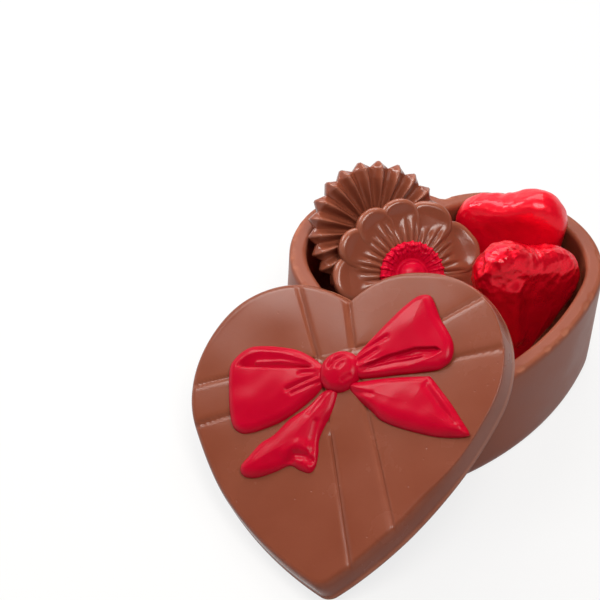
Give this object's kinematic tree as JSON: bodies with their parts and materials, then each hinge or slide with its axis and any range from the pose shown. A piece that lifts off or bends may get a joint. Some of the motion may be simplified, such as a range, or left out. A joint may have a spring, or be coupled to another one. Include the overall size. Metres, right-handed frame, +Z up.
{
  "type": "heart-shaped chocolate gift box",
  "caption": "Moulded chocolate heart box, open, its bow-topped lid leaning on the rim, filled with flower chocolates and foil-wrapped hearts; lid and chocolates lift out.",
  "frame": {"origin": "on the base's underside, on its line of symmetry, level with the centres of its two lobes", "axes": "+Z up, -Y towards the tip of the base's heart, which points to the viewer, +X to the viewer's right"},
  "size_m": [0.1425, 0.1608, 0.0679],
  "materials": {
    "milk_chocolate": "satin moulded milk chocolate",
    "red_candy_coating": "smooth glossy coloured chocolate",
    "red_foil": "thin crinkled coloured foil"
  },
  "bodies": {
    "base": {"base_shell": "milk_chocolate", "lower_heart_foil": "red_foil", "lower_heart_core": "milk_chocolate"},
    "lid": {"lid_plate": "milk_chocolate", "bow_knot": "red_candy_coating", "bow_left_loop": "red_candy_coating", "bow_right_loop": "red_candy_coating", "bow_left_tail": "red_candy_coating", "bow_right_tail": "red_candy_coating"},
    "daisy": {"daisy_chocolate": "milk_chocolate"},
    "flower": {"flower_petals": "milk_chocolate", "flower_centre": "red_candy_coating"},
    "front_heart": {"front_heart_foil": "red_foil", "front_heart_core": "milk_chocolate"},
    "back_heart": {"back_heart_foil": "red_foil", "back_heart_core": "milk_chocolate"}
  },
  "joints": [
    {"name": "lid_lift", "type": "slide", "parent": "base", "child": "lid", "axis": [0, 0, 1], "range_m": [0, 0.12]},
    {"name": "daisy_lift", "type": "slide", "parent": "base", "child": "daisy", "axis": [0, 0.7271, 0.6865], "range_m": [0, 0.06]},
    {"name": "flower_lift", "type": "slide", "parent": "base", "child": "flower", "axis": [0, 0, 1], "range_m": [0, 0.06]},
    {"name": "front_heart_lift", "type": "slide", "parent": "base", "child": "front_heart", "axis": [0, 0, 1], "range_m": [0, 0.06]},
    {"name": "back_heart_lift", "type": "slide", "parent": "base", "child": "back_heart", "axis": [0, 0, 1], "range_m": [0, 0.06]}
  ]
}
